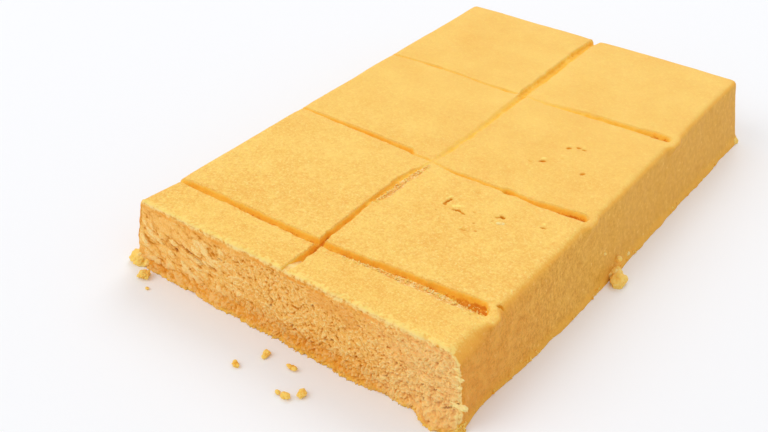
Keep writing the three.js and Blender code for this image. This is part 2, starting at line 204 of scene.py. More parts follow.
# Strips beside the scores where the knife tore the skin: distances along the score and the strip's width
CRUMBLY_STRIPS = [
    (FIRST_CROSS_SCORE, [(57, 0), (63, 0.9), (69, 1.6), (76, 2.3), (88, 2.4), (93, 0.9), (96, 0)]),
    (LONG_SCORE, [(36, 0), (41, 1.8), (56, 2), (62, 0)]),
]
STRIP_EDGE_RAGGED = 0.4
STRIP_EDGE_WAVE = 0.9
STRIP_DIP = 0.25
STRIP_RELIEF = [(0.15, 1.1), (0.1, 0.5)]

# Torn spots in the top: distance across and along, length, width, depth, turn in degrees, height of the lip
TEARS = [
    (64.9, 47.1, 1.5, 1.3, 0.4, 0, 0), (65, 48.6, 3.2, 0.8, 0.9, 86, 0.12),
    (69, 46.3, 2.8, 0.8, 0.5, 32, 0.3), (69.5, 46.3, 1.9, 0.9, 0.9, 25, 0),
    (71.2, 46.2, 2.3, 0.6, 0.4, -4, 0), (80.6, 50.6, 1.6, 1, 1.2, -30, 0),
    (79.6, 49.8, 1.8, 0.6, 0.4, 42, 0.05), (79.3, 47.4, 2, 0.6, 0.25, 80, 0),
    (75.6, 39.8, 3.6, 0.5, 0.28, 25, 0.08), (78.3, 41.1, 0.8, 0.6, 0.35, 0, 0),
    (75.9, 44.1, 1, 0.6, 0.3, 40, 0), (64.6, 43.5, 0.9, 0.6, 0.25, 0, 0),
    (67.5, 40.6, 0.8, 0.6, 0.25, 0, 0), (73.4, 48.2, 1.4, 0.6, 0.22, 0, 0),
    (69.1, 56.9, 2.6, 2.2, 0.16, 0, 0), (91.3, 52.7, 2, 0.8, 0.5, 15, 0.1),
    (75.2, 81.4, 2.6, 1.2, 0.7, 30, 0.1), (72.2, 79.6, 1.6, 0.8, 0.2, 0, 0),
    (77.6, 92.7, 1.7, 1.2, 0.5, 30, 0.12), (79.7, 94.4, 1.5, 1, 0.5, 10, 0.1),
    (81.6, 94.2, 1.6, 0.9, 0.4, 0, 0.1), (78.8, 86.1, 2.2, 1, 0.12, 20, 0.12),
    (87, 82.4, 1.8, 1.1, 0.4, 60, 0), (99, 19.3, 1.6, 1.1, 0.6, 30, 0),
]
TEAR_SWAY = 0.35
TEAR_SWAY_WAVE = 1.3
HOLLOW_DEPTH = 0.9  # depth at which a tear or a hole has its full painted shade
LIP_SHIFT = (-0.6, 1.6)  # from the middle of the tear, across and along
LIP_WIDTH = 0.8

# Curls that stand up beside the tears: centre across, along and up, then half sizes
TEAR_CURLS = [
    (81.4, 47.7, HEIGHT + 0.02, 0.9, 0.7, 0.3),
    (82.1, 48.1, HEIGHT, 0.5, 0.7, 0.25),
]

# Holes and drag cracks in the cut face: distance across, height, width, mouth height, depth, turn
FACE_HOLES = [
    (12, 10.5, 1.5, 1.2, 1.6, -20), (10.4, 11.1, 3.2, 0.6, 0.7, -16),
    (17.2, 12.3, 2.6, 1.5, 1.9, -16), (15.2, 12.9, 3.4, 0.7, 0.8, -16),
    (20, 11, 4.4, 0.4, 0.5, -20), (28.3, 14.6, 1.8, 0.7, 0.8, -8), (26.2, 15.1, 3.4, 0.4, 0.5, -12),
    (24.6, 10.9, 4.4, 0.4, 0.6, -20), (25.4, 10.1, 1.6, 0.6, 0.5, 0), (21.1, 10.2, 1.2, 0.7, 0.4, 50),
    (7.1, 11.7, 1.4, 0.8, 0.4, 10), (38.3, 13.1, 1.2, 0.6, 0.7, 30), (45.3, 8.2, 1.3, 0.8, 0.7, 50),
    (45.9, 10, 1.3, 0.8, 0.6, -40), (52.6, 5.6, 1.4, 0.8, 0.6, 50), (59, 14.6, 1.1, 0.9, 1.2, 60),
    (59, 3.5, 1.5, 0.6, 0.8, 20), (56.2, 3.6, 2.6, 0.5, 0.6, -6), (65.2, 7.3, 1.4, 0.6, 1.3, 20),
    (63.6, 6.6, 2.2, 0.5, 0.6, 18), (72.8, 15, 2.6, 0.7, 0.6, 10), (72.4, 5.9, 1.8, 0.6, 0.5, 0),
    (81.9, 4.9, 2, 0.7, 0.8, 10), (84.2, 10.2, 1.2, 0.6, 0.5, 60), (91.4, 7.6, 2.2, 0.6, 0.5, 50),
    (92.1, 4.3, 2, 0.7, 0.7, -15), (89.8, 3.4, 1.2, 0.5, 0.5, 0), (95, 7.9, 1.5, 0.5, 0.7, 35),
    (98.8, 4.9, 2.4, 0.6, 0.7, 24), (101, 6.9, 1.7, 0.5, 0.7, 24),
]

# Lumps pressed out at the foot: centre across, along and up, then half sizes
LUMPS = [
    (-3.3, -0.9, 1.3, 3, 2.4, 2),
    (-0.6, -0.2, 1, 2.2, 2, 1.6),
    (103.8, 76, 3.4, 0.9, 0.9, 0.8),
    (104.6, 73.2, 0.9, 1.8, 2.6, 1.5),
    (107.1, 69.9, 1.3, 2.3, 2.3, 1.8),
    (103.4, 163.2, 0.5, 1.7, 1.8, 1.3),
]

# Thin flakes that the knife left standing on the right edge of the cut face
FLAKES = [
    (100.2, -0.4, 16.6, 0.9, 0.4, 0.4),
    (101, -0.5, 14.6, 1.2, 0.4, 0.4),
    (101, -0.3, 11.6, 0.5, 0.3, 0.35),
    (101.7, -0.7, 6.7, 1.7, 0.5, 0.5),
    (103, -0.8, 7.1, 0.7, 0.4, 0.45),
]

# Crumbs that hold to the right side
SIDE_CRUMBS = [
    (103.6, 82.5, 1.4, 0.8, 0.8, 0.7),
    (102.4, 69.3, 8.6, 0.5, 0.6, 0.45),
]

# Crumbs that fell beside the foot
BOARD_CRUMBS = [
    (3.2, -5.2, 1, 1.4, 1.7, 1.2),
    (7.6, -8.3, 0.3, 0.5, 0.6, 0.4),
    (50.6, -9, 0.6, 0.9, 1.2, 0.7),
    (58.6, -8.8, 0.6, 1.5, 0.9, 0.7),
    (66.6, -14.4, 0.7, 1, 1.3, 0.8),
    (47, -16.2, 0.6, 1.2, 0.9, 0.7),
    (63.9, -17.3, 0.7, 1.4, 0.8, 0.8),
    (61.6, -17.2, 0.5, 0.8, 0.6, 0.6),
]
LUMP_ROUGHNESS = 0.3
LUMP_WAVELENGTH = 1.5
DENT_FINE_WAVE = 0.6

# Small grains: how many, and the smallest and largest radius
FOOT_GRAIN_COUNT = 900
FOOT_GRAIN_RADII = (0.12, 0.42)
FOOT_GRAINS_BELOW = 1.6
FOOT_GRAINS_BY_CUT = 5  # how many times as likely they are there as elsewhere
SCORE_GRAIN_COUNT = 360
SCORE_GRAIN_RADII = (0.1, 0.3)

# The slab's mesh: finest step of its lines by a place and its growth with the distance, then the widest steps
SCORE_LINES = (0.2, 0.22)
EDGE_LINES = (0.45, 0.45)
WIDEST_STEP = 1.06
WIDEST_UP_STEP = 1.15
LINES_FOLLOW = (4, 12)  # how far from a score the lines run along it, and where that has faded
FINE_BY_SCORE = 2.6
FINE_DOWN_SCORE = 2.5
FINE_BY_FIRST = (48, 99, 5)  # along the torn strips, from, to and to each side
FINE_BY_LONG = (34, 63, 4)
FINE_BY_TEAR = 1
FINE_BY_CUT = 1.3

# What the finishes are told: how far the pale rim reaches along the two faces of an edge (the top skin's own
# paler edge, and a painted glow along the cut's thin edges), and where the darker line below the skin lies
# and fades
TOP_RIM = (1.3, 1.7)
CORNER_RIM = (1.3, 0.6)
CORNER_RIM_STARTS = (0, 2)
SKIN_LINE = (1.7, 0.8)
TOP_SLOPES = (0.3, 0.96)  # how far up a face looks where the top's colour starts and is full; the sides' deeper colour below is partly their own and partly painted shade

# Camera, fitted to the slab's corners and score lines
EYE = (137.45, -228.7, 174.1)
AZIMUTH = math.radians(36.123)
ELEVATION = math.radians(34.337)
ROLL = math.radians(0.679)
LENS = 48.90
SENSOR = 36


# Shapes


def scatter(i, j, k):
    """A repeatable number from -1 to 1 for each point with whole coordinates."""
    mask = 0xFFFFFFFF
    h = ((i * 374761393) ^ (j * 668265263) ^ (k * 1274126177)) & mask
    h = ((h ^ (h >> 13)) * 1103515245) & mask
    return (h ^ (h >> 16)) / 2**31 - 1


def noise(x, y, z):
    """Smooth noise from -1 to 1 through those numbers."""
    places = np.broadcast_arrays(x, y, z)
    (i, j, k) = (np.floor(place).astype(np.int64) for place in places)
    (u, v, w) = (place - np.floor(place) for place in places)
    (u, v, w) = (t * t * (3 - 2 * t) for t in (u, v, w))

    def edge(b, c):
        return scatter(i, j + b, k + c) * (1 - u) + scatter(i + 1, j + b, k + c) * u

    near = edge(0, 0) * (1 - v) + edge(1, 0) * v
    far = edge(0, 1) * (1 - v) + edge(1, 1) * v
    return near * (1 - w) + far * w


def relief(octaves, *places):
    """The sum of noise of several heights and wavelengths."""
    return sum(height * noise(*(place / wave for place in places)) for height, wave in octaves)


def ramp(value, low, high):
    """Rises from 0 at low to 1 at high."""
    t = np.clip((value - low) / (high - low), 0, 1)
    return t * t * (3 - 2 * t)


def fade(value, low, high):
    """Falls from 1 at low to 0 at high."""
    return 1 - ramp(value, low, high)


def bell(value):
    """1 at zero, and nearly gone at 2."""
    return np.exp(-value * value)


def points(*parts):
    return np.stack(parts, axis=1)


def score_at(score, distance):
    """Place across, depth and mouth width of a score at a distance along it."""
    table = np.array(score[1])
    return [np.interp(distance, table[:, 0], table[:, column]) for column in (1, 2, 3)]


def top_height(x, y):
    """Height of the top over a point of the plan, before any score is cut."""
    across = x - LEFT_X
    along = y - FRONT_Y
    gaps = [np.abs(along - score_at(score, across)[0]) for score in CROSS_SCORES]
    gaps.append(np.abs(across - score_at(LONG_SCORE, along)[0]))
    nearest = np.minimum.reduce(gaps) / PILLOW_REACH
    beyond_first = along - score_at(FIRST_CROSS_SCORE, across)[0]
    drop = STRIP_DROP * fade(beyond_first, -STRIP_STEP_HALF, STRIP_STEP_HALF)
    return HEIGHT - drop - PILLOW_FALL * bell(nearest)


def rounded(gaps, radius):
    """Distances from faces that meet squarely, changed so that the edges between them are round."""
    out = np.minimum(gaps - radius, 0)
    reach = np.maximum(np.linalg.norm(out, axis=1), 1e-9)
    return np.maximum(gaps, radius) + out * (np.abs(out).max(axis=1) / reach)[:, None]


def round_edges(p):
    """Rounds the edges of the square-edged blank: its moulded ones, and the sharper ones of the cut."""
    (x, y, z) = p.T
    inward = points(RIGHT_X - np.abs(x), HEIGHT - z)
    nearest = np.minimum(inward.min(axis=1), MOULDED_RADIUS - 1e-9)
    (eased, behind) = rounded(points(nearest, y - FRONT_Y), CUT_RADIUS).T
    share = (MOULDED_RADIUS - eased) / (MOULDED_RADIUS - nearest)
    out = np.minimum(inward - MOULDED_RADIUS, 0) * share[:, None]
    (beside, below) = (np.maximum(inward, MOULDED_RADIUS) + out).T
    gaps = points(beside, LENGTH - behind, below)
    (beside, before_back, below) = rounded(gaps, MOULDED_RADIUS).T
    return points(np.sign(x) * (RIGHT_X - beside), BACK_Y - before_back, HEIGHT - below)


def foot_reach(across, up):
    """How far the foot of the cut face stands out with its lip and its flare."""
    aside = (across - FLARE_ACROSS) / FLARE_HALF_WIDTH
    ragged = 1 + sum(share * noise(across / wave, up / wave, 5.5) for share, wave in FLARE_RAGGED)
    flare = FLARE_OUT * ragged * np.exp(-aside**4) * fade(up, 0.5, FLARE_HEIGHT)
    return flare + np.interp(across, *np.array(FOOT_LIP).T) * fade(up, 0.3, FRINGE_HEIGHT)


def last_cut_shift(across_share, along, down):
    """How far the last cut moved points of the sides to the right, by their place along and down."""
    near_cut = fade(along, 0, DRAWN_IN_OVER) * ramp(along, -CORNER_KEPT, CORNER_KEPT)
    drawn_in = FOOT_DRAWN_IN * near_cut * down**3
    pushed_out = CORNER_PUSHED_OUT * fade(along, 0, PUSHED_OUT_OVER) * (1 - down)
    upper = np.interp(along, *np.array(TOP_EDGE_OUT).T) * ramp(1 - down, *TOP_EDGE_ABOVE)
    return np.abs(across_share) * np.where(across_share > 0, upper - drawn_in, -pushed_out)


def lean_sides(p):
    """Spreads the sides towards the foot, with the ragged fringe at the very bottom."""
    (x, y, z) = p.T
    down = 1 - z / HEIGHT
    across_share = x / RIGHT_X
    along_share = (y - (FRONT_Y + BACK_Y) / 2) / (LENGTH / 2)
    fringe = fade(z, 0, FRINGE_HEIGHT)
    ragged = FRINGE_RAGGED * noise(x / FRINGE_WAVELENGTH, y / FRINGE_WAVELENGTH, 0.5)
    low_fringe = fade(z, 0, FRINGE_DETAIL_HEIGHT)
    detail = relief(FRINGE_DETAIL, x, y, z)
    detail *= 1 - (1 - SIDE_FRINGE_DETAIL) * ramp(y, FRONT_Y, FRONT_Y + 2)
    spread = fringe * (FRINGE_OUT + ragged) + low_fringe * detail
    lean = np.where(along_share < 0, FRONT_LEAN, BACK_LEAN)
    cut_shift = last_cut_shift(across_share, y - FRONT_Y, down)
    moved_x = x + across_share * (SIDE_DRAFT * down + spread) + cut_shift
    moved_y = y + along_share * (lean * down + spread)
    moved_y = moved_y - foot_reach(moved_x - LEFT_X, z) * np.maximum(-along_share, 0) ** 4
    return points(moved_x, moved_y, z)


def beside_score(score, x, y):
    """Distance along a score, offset to its steep side, depth and mouth width, for points of the plan."""
    runs_along = score[0]
    (distance, sideways) = (y - FRONT_Y, x - LEFT_X) if runs_along else (x - LEFT_X, y - FRONT_Y)
    (place, depth, mouth) = score_at(score, distance)
    return distance, (place - sideways if runs_along else sideways - place), depth, mouth


def score_shape(x, y):
    """For points of the plan: how far the scores cut down, what of it is wall or floor, the burr's height."""
    (deepest, walled, burr) = np.zeros((3, len(x)))
    for number, score in enumerate(SCORES):
        (distance, offset, depth, mouth) = beside_score(score, x, y)
        place = np.full_like(x, 17.3 * number)
        offset = offset + relief(SCORE_RAGGED, distance, 2.5 * np.sign(offset), place)
        share = offset / (mouth / 2)
        blunt = SCORE_END_ROUND * np.minimum(share**2, 1) * mouth / 4
        end = score[1][-1][0] - SCORE_END_SLANT * offset - blunt
        kept = fade(distance, end - SCORE_END / 2, end + SCORE_END / 2)
        uneven = 1 + relief(SCORE_DEPTH_RAGGED, distance, offset, place)
        steep = np.interp(share, SECTION_PLACES, SECTION_DEPTHS)
        round_section = (1 + np.cos(math.pi * np.clip(share, -1, 1))) / 2
        section = round_section + (steep - round_section) * ramp(depth, *ROUND_TO_STEEP)
        cut = depth * uneven * kept * section
        wall = kept * ramp(share, *WALL_STARTS) * fade(share, *WALL_ENDS)
        walled = np.where(cut > deepest, wall, walled)
        deepest = np.maximum(deepest, cut)
        lip = (offset - mouth / 2 - BURR_WIDTH * 0.6) / BURR_WIDTH
        raised = BURR * np.clip(depth / BURR_FULL_DEPTH, 0, 1) * kept * uneven
        burr = np.maximum(burr, raised * bell(lip))
    return deepest, walled, burr * (deepest < UNCUT)


def strip_share(x, y):
    """How far points of the plan lie in a strip of torn skin beside a score, from 0 to 1."""
    share = np.zeros_like(x)
    for score, rows in CRUMBLY_STRIPS:
        (distance, offset, _, mouth) = beside_score(score, x, y)
        width = np.interp(distance, *np.array(rows).T, left=0)
        edge = -mouth / 2 - width
        ragged = offset + STRIP_EDGE_RAGGED * noise(x / STRIP_EDGE_WAVE, y / STRIP_EDGE_WAVE, 3.5)
        inside = ramp(ragged, edge, edge + 0.5) * fade(offset, -mouth / 2, -mouth / 2 + 0.7)
        share = np.maximum(share, inside * ramp(width, 0.1, 0.6))
    return share


def dent(u, v, length, width, seed):
    """A lumpy bowl from 1 in its middle to 0 at its rim, in the plane of u and v."""
    rough = 1 + LUMP_ROUGHNESS * noise(u / LUMP_WAVELENGTH + seed, v / LUMP_WAVELENGTH, seed)
    rough += LUMP_ROUGHNESS / 2 * noise(u / DENT_FINE_WAVE, v / DENT_FINE_WAVE, seed)
    gone = np.hypot(u / (length / 2), v / (width / 2)) / rough
    return np.sqrt(np.clip(1 - gone * gone, 0, 1))


def turned(u, v, degrees):
    """Points as seen along axes turned by so many degrees."""
    (c, s) = (math.cos(math.radians(degrees)), math.sin(math.radians(degrees)))
    return u * c + v * s, v * c - u * s


def tear_shape(x, y):
    """How far the tears go down at points of the plan, and the height of the lips beside them."""
    (deepest, highest) = np.zeros((2, len(x)))
    for across, along, length, width, depth, degrees, lip in TEARS:
        (u, v) = turned(x - LEFT_X - across, y - FRONT_Y - along, degrees)
        v = v + TEAR_SWAY * noise(u / TEAR_SWAY_WAVE, across, 0.5)
        deepest = np.maximum(deepest, depth * dent(u, v, length, width, across))
        aside = (x - LEFT_X - across - LIP_SHIFT[0], y - FRONT_Y - along - LIP_SHIFT[1])
        (u, v) = turned(*aside, degrees)
        uneven = np.clip(0.8 + noise(x / 0.8, y / 0.8, across), 0, 1.4)
        gone = np.hypot(u / (0.45 * length), v / LIP_WIDTH)
        highest = np.maximum(highest, lip * uneven * bell(gone))
    return deepest, highest * (deepest < UNCUT)


def hole_depth(x, z):
    deepest = np.zeros_like(x)
    for across, up, width, mouth, depth, degrees in FACE_HOLES:
        (u, v) = turned(x - LEFT_X - across, z - up, degrees)
        deepest = np.maximum(deepest, depth * dent(u, v, width, mouth, across))
    return deepest


def cells(x, y, seed):
    """The nearest of the points scattered one to a unit cell: the way from it in x and y, and its number."""
    (i, j) = (np.floor(place).astype(np.int64) for place in (x, y))
    (way_x, way_y, number) = (np.full_like(x, 9) for _ in range(3))
    for step in np.ndindex(3, 3):
        (a, b) = (i + step[0] - 1, j + step[1] - 1)
        dx = x - a - 0.5 - CELL_SCATTER * scatter(a, b, seed)
        dy = y - b - 0.5 - CELL_SCATTER * scatter(a, b, seed + 1)
        nearer = np.hypot(dx, dy) < np.hypot(way_x, way_y)
        way_x = np.where(nearer, dx, way_x)
        way_y = np.where(nearer, dy, way_y)
        number = np.where(nearer, scatter(a, b, seed + 2), number)
    return way_x, way_y, number


def smooth_share(x, z):
    """How far points of the cut face lie in its smooth spots, from 0 to 1."""
    smooth = np.zeros_like(x)
    for across, up, half_width, half_height in SMOOTH_SPOTS:
        gone = np.hypot((x - LEFT_X - across) / half_width, (z - up) / half_height)
        ragged = gone + SMOOTH_SPOT_RAGGED * noise(x / SMOOTH_SPOT_WAVE, z / SMOOTH_SPOT_WAVE, 60.5)
        smooth = np.maximum(smooth, 1 - ramp(ragged, *SMOOTH_SPOT_FADES))
    return smooth


def grain_height(x, v, at_left):
    """Height of the grains, ridges and furrows, with v across the knife's drag."""
    height = np.zeros_like(x)
    for layer, (tall, step, length, width, left_share, other_share) in enumerate(GRAINS):
        shift = GRAIN_WARP * noise(x / length, v / width, layer + 20.5)
        (gap_x, gap_v, number) = cells(x / length + shift, v / width - shift, layer * 7)
        dome = np.sqrt(np.clip(1 - (gap_x**2 + gap_v**2) / DOME_REACH, 0, 1)) - DOME_SUNK
        height += (tall * dome + step * number) * (other_share + (left_share - other_share) * at_left)
    for layer, (spacing, length, width, tall) in enumerate(STROKES):
        (gap_x, gap_v, number) = cells(x / spacing, v / spacing, 120 + layer * 7)
        fan = STROKE_FAN * np.sin(37 * number)
        along = (gap_x * np.cos(fan) + gap_v * np.sin(fan)) * 2 * spacing / length
        aside = (gap_v * np.cos(fan) - gap_x * np.sin(fan)) * 2 * spacing / width
        height += tall * number * np.exp(-along**4 - aside**2) * (1 + (STROKES_LEFT - 1) * at_left)
    return height


def crack_depth(x, v, cracked):
    """Depth of the cracks that the knife dragged open, by how cracked the face is."""
    depth = np.zeros_like(x)
    for layer, (deep, length, width, thin, common) in enumerate(CRACKS):
        bend = CRACK_BEND * noise(x / width, v / width, layer + 40.5)
        (gap_x, gap_v, number) = cells(x / length, v / width + bend, 50 + layer * 7)
        line = gap_v * width / thin
        present = (number > 1 - 2 * common * cracked) * fade(np.abs(gap_x), *CRACK_TAPERS)
        depth += deep * present * bell(line)
    return depth


def crumb_relief(x, z):
    """The cut face's crumb over its general shape: its height, and how far the knife smeared it."""
    dragged = (DRAG_SLOPE - DRAG_EASES * x / 2) * x
    v = z + dragged + DRAG_SWAY * noise(x / DRAG_SWAY_WAVE, z / DRAG_SWAY_WAVE, 7.5)
    broken = ramp(relief(SMEAR_WAVES, x / 2, v, 3.5) - SMEAR_LOW * (z - 9), *SMEAR_ENDS)
    at_left = fade(x - LEFT_X, *LEFT_END)
    right_end = ramp(x - LEFT_X, *CRACKED_RIGHT)
    low_right = right_end * fade(z, *CRACKED_UP_TO)
    smooth = smooth_share(x, z)
    low = LOW_ROUGHER * fade(z, *LOW_ROUGHER_FADES)
    rougher = 1 + RIGHT_ROUGHER * right_end + low * (1 - low_right)
    kept = (SMEARED_GRAINS + (1 - SMEARED_GRAINS) * broken) * (1 - SMOOTHED_AWAY * smooth)
    cracked = CRACKS_ELSEWHERE + (1 - CRACKS_ELSEWHERE) * np.maximum(CRACKED_LEFT * at_left, low_right)
    cracks = crack_depth(x, v, cracked) * (0.5 + 0.5 * broken) * (1 - smooth)
    return grain_height(x, v, at_left) * kept * rougher - cracks, 1 - broken


# Meshes


def stations(start, end, widest, *scores):
    """Lines from start to end, closest together by both and by the scores' places."""
    fine = [(start, *EDGE_LINES), (end, *EDGE_LINES), *((place, *SCORE_LINES) for place in scores)]
    lines = [start]
    while lines[-1] < end:
        steps = [max(step, abs(lines[-1] - place) * growth) for place, step, growth in fine]
        lines.append(lines[-1] + min(widest, *steps))
    scale = (end - start) / (lines[-1] - start)
    return [start + (line - start) * scale for line in lines]


def middle_place(score):
    """The middle of a score's sway, as its place across."""
    places = [row[1] for row in score[1]]
    return (min(places) + max(places)) / 2


def along_axis(edge, axis):
    way = edge.verts[1].co - edge.verts[0].co
    return abs(way[axis]) > 0.9 * way.length


def blank_lattice():
    """A closed box, open below, with its vertices on the blank's lines."""
    across = stations(LEFT_X, RIGHT_X, WIDEST_STEP, LEFT_X + middle_place(LONG_SCORE))
    cross_places = [FRONT_Y + middle_place(score) for score in CROSS_SCORES]
    along = stations(FRONT_Y, BACK_Y, WIDEST_STEP, *cross_places)
    up = stations(0, HEIGHT, WIDEST_UP_STEP)
    bm = bmesh.new()
    bmesh.ops.create_cube(bm, size=1)
    for axis, lines in enumerate((across, along, up)):
        edges = [edge for edge in bm.edges if along_axis(edge, axis)]
        bmesh.ops.subdivide_edges(bm, edges=edges, cuts=len(lines) - 2, use_grid_fill=True)
    for vertex in bm.verts:
        for axis, lines in enumerate((across, along, up)):
            vertex.co[axis] = lines[round((vertex.co[axis] + 0.5) * (len(lines) - 1))]
    below = [face for face in bm.faces if face.calc_center_median().z < 1e-6]
    bmesh.ops.delete(bm, geom=below, context="FACES")
    return bm


def refine(bm, wanted, axis=None):
    """Halves the edges of the faces that a rule picks by their middle, or only those along one axis."""
    edges = {edge for face in bm.faces if wanted(face.calc_center_median()) for edge in face.edges}
    if axis is not None:
        edges = {edge for edge in edges if along_axis(edge, axis)}
    bmesh.ops.subdivide_edges(bm, edges=list(edges), cuts=1, use_grid_fill=True)


def by_foot(middle):
    return middle.z < FRINGE_HEIGHT


def by_cross_score(middle):
    gap = min(abs(middle.y - FRONT_Y - middle_place(score)) for score in CROSS_SCORES)
    return gap < FINE_BY_SCORE and middle.z > HEIGHT - FINE_DOWN_SCORE


def by_long_score(middle):
    gap = abs(middle.x - LEFT_X - middle_place(LONG_SCORE))
    return gap < FINE_BY_SCORE and middle.z > HEIGHT - FINE_DOWN_SCORE


def on_top(middle):
    return middle.z > HEIGHT - 0.01


def by_tear(middle):
    gaps = [
        math.hypot(middle.x - LEFT_X - across, middle.y - FRONT_Y - along) - length / 2
        for across, along, length, *_ in TEARS
    ]
    return min(gaps) < FINE_BY_TEAR and on_top(middle)


def by_strip(middle):
    (across, along) = (middle.x - LEFT_X, middle.y - FRONT_Y)
    (start, end, reach) = FINE_BY_FIRST
    by_first = start < across < end and abs(along - middle_place(FIRST_CROSS_SCORE)) < reach
    (start, end, reach) = FINE_BY_LONG
    by_long = start < along < end and abs(across - middle_place(LONG_SCORE)) < reach
    return (by_first or by_long) and on_top(middle)


def by_cut_edge(middle):
    off_edge = min(RIGHT_X - abs(middle.x), HEIGHT - middle.z)
    return max(off_edge, middle.y - FRONT_Y) < FINE_BY_CUT


def refined_lattice():
    """The box's lines, halved where the slab has its finer forms."""
    bm = blank_lattice()
    refine(bm, by_foot)
    refine(bm, by_cross_score, axis=0)
    refine(bm, by_long_score, axis=1)
    for wanted in (by_strip, by_tear, by_tear, by_cut_edge, by_cut_edge):
        refine(bm, wanted)
    many_cornered = [face for face in bm.faces if len(face.verts) > 4]
    bmesh.ops.triangulate(bm, faces=many_cornered)
    return bm


def sway(score, distance, sideways):
    """How far a score runs aside of its middle place, fading away from it."""
    middle = middle_place(score)
    near = fade(np.abs(sideways - middle), *LINES_FOLLOW)
    return near * (score_at(score, distance)[0] - middle)


def follow_scores(p):
    """Shifts the straight lines by each score sideways, so that they run along it."""
    (x, y, z) = p.T
    (across, along) = (x - LEFT_X, y - FRONT_Y)
    moved_y = y + sum(sway(score, across, along) for score in CROSS_SCORES)
    return points(x + sway(LONG_SCORE, along, across), moved_y, z)


def mesh_of(bm, name):
    mesh = bpy.data.meshes.new(name)
    bm.to_mesh(mesh)
    bm.free()
    return mesh


def vectors(items, name):
    """What each vertex has under a name, such as its coordinates, as rows of an array."""
    found = np.empty(len(items) * 3, np.float32)
    items.foreach_get(name, found)
    return found.reshape(-1, 3).astype(float)


def coordinates(mesh):
    return vectors(mesh.vertices, "co")


def set_coordinates(mesh, p):
    mesh.vertices.foreach_set("co", p.astype(np.float32).ravel())
    mesh.update()


def close_holes(bm):
    """Fills what is open and turns the faces outwards."""
    bmesh.ops.holes_fill(bm, edges=[edge for edge in bm.edges if edge.is_boundary], sides=0)
    bmesh.ops.recalc_face_normals(bm, faces=bm.faces)


def close_below(mesh):
    bm = bmesh.new()
    bm.from_mesh(mesh)
    close_holes(bm)
    bm.to_mesh(mesh)
    bm.free()


def placed(name, data):
    made = bpy.data.objects.new(name, data)
    bpy.context.scene.collection.objects.link(made)
    return made


def piece(name, mesh, finish, *replaced):
    """Puts a mesh in the scene as a piece of the slab."""
    made = placed(name, mesh)
    mesh.materials.append(finish)
    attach(made, "root")
    if replaced:
        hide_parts(*replaced)


def general_shape(square):
    """Takes points of the square-edged blank to the slab's skin, before its relief and its scores."""
    p = lean_sides(round_edges(square))
    sinking = top_height(p[:, 0], p[:, 1]) - HEIGHT
    p[:, 2] += sinking * ramp(p[:, 2], HEIGHT - TOP_LAYER, HEIGHT)
    return p


def cut_edge_gap(square):
    """How far points of the cut face are from its edges with the moulded faces."""
    (x, _, z) = square.T
    return np.minimum(RIGHT_X - np.abs(x), HEIGHT - z)


def mark(mesh, square, **values):
    """Keeps in attributes what the finish has to know, zero where nothing is said."""
    (x, y, z) = square.T
    below_edge = HEIGHT - z
    behind_cut = y - FRONT_Y
    by_top_edge = bell(np.maximum(below_edge / TOP_RIM[0], behind_cut / TOP_RIM[1]))
    by_corner = bell(np.maximum((RIGHT_X - x) / CORNER_RIM[0], behind_cut / CORNER_RIM[1]))
    found = {name: np.zeros_like(x) for name in ("top", "groove", "torn", "hollow", "smeared")}
    found["raised"] = np.full_like(x, 0.5)
    found["up"] = coordinates(mesh)[:, 2] / HEIGHT
    found["rim"] = np.maximum(by_top_edge, by_corner * ramp(below_edge, *CORNER_RIM_STARTS))
    found["skin"] = bell((below_edge - SKIN_LINE[0]) / SKIN_LINE[1])
    found.update(values)
    for name, value in found.items():
        attribute = mesh.attributes.new(name, "FLOAT", "POINT")
        attribute.data.foreach_set("value", np.asarray(value, np.float32))


def finished(mesh):
    """Takes a mesh from millimetres to metres and shades it smooth."""
    mesh.transform(Matrix.Scale(MM, 4))
    mesh.polygons.foreach_set("use_smooth", np.ones(len(mesh.polygons), bool))
    return mesh


def skin_relief(p, normals):
    """Height of the relief, each face's own where the slab faces its way."""
    top = np.maximum(normals[:, 2], 0) ** 2
    cut = np.maximum(-normals[:, 1], 0) ** 2
    height = top * relief(TOP_RELIEF, *p.T)
    height += cut * relief(CUT_RELIEF, *p.T)
    return height + (1 - top - cut) * relief(MOULDED_RELIEF, *p.T)


